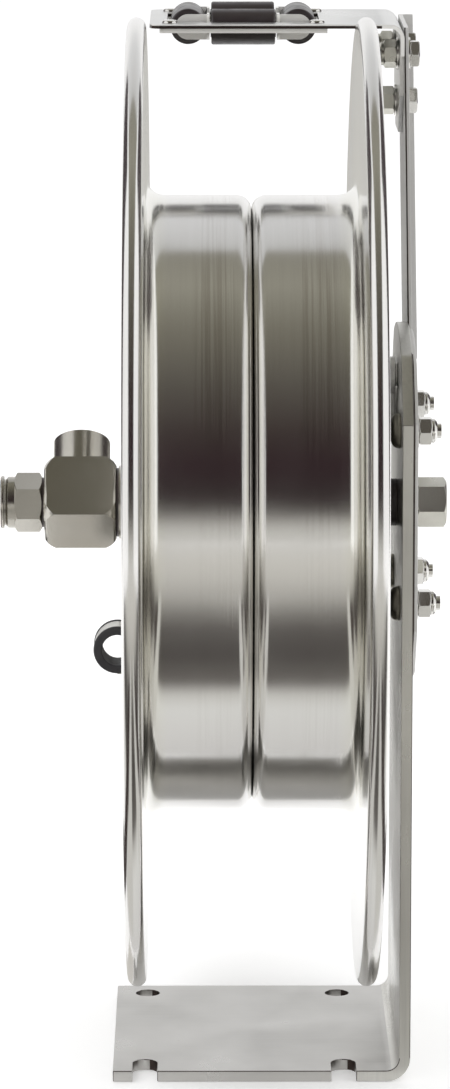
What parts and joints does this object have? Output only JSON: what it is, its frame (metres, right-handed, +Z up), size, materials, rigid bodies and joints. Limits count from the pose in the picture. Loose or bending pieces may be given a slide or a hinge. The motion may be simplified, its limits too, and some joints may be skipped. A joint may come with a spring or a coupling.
{
  "type": "fire hose reel",
  "caption": "Open stainless steel hose reel: a two-disc spun drum on an L-shaped stand, with a spring rewind, a latch, a water swivel and a caged roller guide over the drum.",
  "frame": {"origin": "on the underside of the foot, straight below the axle and under the seam between the drum halves", "axes": "+X along the axle from the swivel to the post, +Y towards the back where the roller guide leans, +Z up"},
  "size_m": [0.1938, 0.42, 0.451],
  "materials": {
    "stand_steel": "satin stainless sheet",
    "drum_steel": "polished stainless sheet, lightly brushed on the drum",
    "bright_steel": "bright machined stainless",
    "case_steel": "plain sheet and spring steel",
    "roller_plastic": "satin dark nylon",
    "bush_plastic": "black nylon",
    "bearing_bronze": "sintered bronze",
    "rubber": "matt black rubber"
  },
  "bodies": {
    "stand": {"pedestal": "stand_steel", "guide_arm": "stand_steel", "arm_bolts": "bright_steel", "arm_nuts": "bright_steel", "arm_washers": "bright_steel", "axle": "bright_steel", "axle_washer": "bright_steel", "axle_nut": "bright_steel", "axle_clip": "bright_steel", "spacer_bush": "bush_plastic", "spring_arbor": "case_steel", "arbor_pin": "bright_steel", "pawl_pin": "bright_steel", "roller_bracket": "stand_steel", "bracket_bolts": "bright_steel", "bracket_washers": "bright_steel", "bracket_nuts": "bright_steel", "roller_cage": "stand_steel", "cage_rivets": "bright_steel", "roller_pins": "bright_steel"},
    "drum": {"drum_half_inlet": "drum_steel", "drum_half_spring": "drum_steel", "drum_hub": "bright_steel", "tie_bolts": "bright_steel", "tie_nuts": "bright_steel", "bearing_inner": "bearing_bronze", "bearing_outer": "bearing_bronze", "spring_case": "case_steel", "case_cover": "case_steel", "cover_screws": "bright_steel", "cover_nuts": "bright_steel", "power_spring": "case_steel", "ratchet_wheel": "case_steel", "ratchet_screws": "bright_steel", "swivel_spindle": "bright_steel", "swivel_plug": "bright_steel", "swivel_washers": "bush_plastic", "swivel_seals": "rubber", "outlet_elbow": "bright_steel", "clamp_bracket": "stand_steel", "bracket_screws": "bright_steel", "bracket_screw_nuts": "bright_steel", "hose_clamp_band": "bright_steel", "hose_clamp_cushion": "rubber", "clamp_screw": "bright_steel", "clamp_nut": "bright_steel"},
    "swivel": {"swivel_block": "bright_steel"},
    "pawl": {"pawl": "stand_steel"},
    "roller_front": {"roller_front": "roller_plastic"},
    "roller_rear": {"roller_rear": "roller_plastic"},
    "roller_left": {"roller_left": "roller_plastic"},
    "roller_right": {"roller_right": "roller_plastic"}
  },
  "joints": [
    {"name": "drum_spin", "type": "hinge", "parent": "stand", "child": "drum", "pos_m": [0, 0, 0.241], "axis": [1, 0, 0], "continuous": true},
    {"name": "swivel_turn", "type": "hinge", "parent": "drum", "child": "swivel", "pos_m": [-0.074, 0, 0.241], "axis": [1, 0, 0], "continuous": true},
    {"name": "pawl_swing", "type": "hinge", "parent": "stand", "child": "pawl", "pos_m": [0.061, 0, 0.297], "axis": [1, 0, 0], "range_deg": [-24, 20]},
    {"name": "front_roller_spin", "type": "hinge", "parent": "stand", "child": "roller_front", "pos_m": [-0.003, 0.0865, 0.4403], "axis": [1, 0, 0], "continuous": true},
    {"name": "rear_roller_spin", "type": "hinge", "parent": "stand", "child": "roller_rear", "pos_m": [-0.003, 0.1275, 0.4403], "axis": [1, 0, 0], "continuous": true},
    {"name": "left_roller_spin", "type": "hinge", "parent": "stand", "child": "roller_left", "pos_m": [-0.0275, 0.107, 0.4403], "axis": [0, 1, 0], "continuous": true},
    {"name": "right_roller_spin", "type": "hinge", "parent": "stand", "child": "roller_right", "pos_m": [0.0215, 0.107, 0.4403], "axis": [0, 1, 0], "continuous": true}
  ]
}
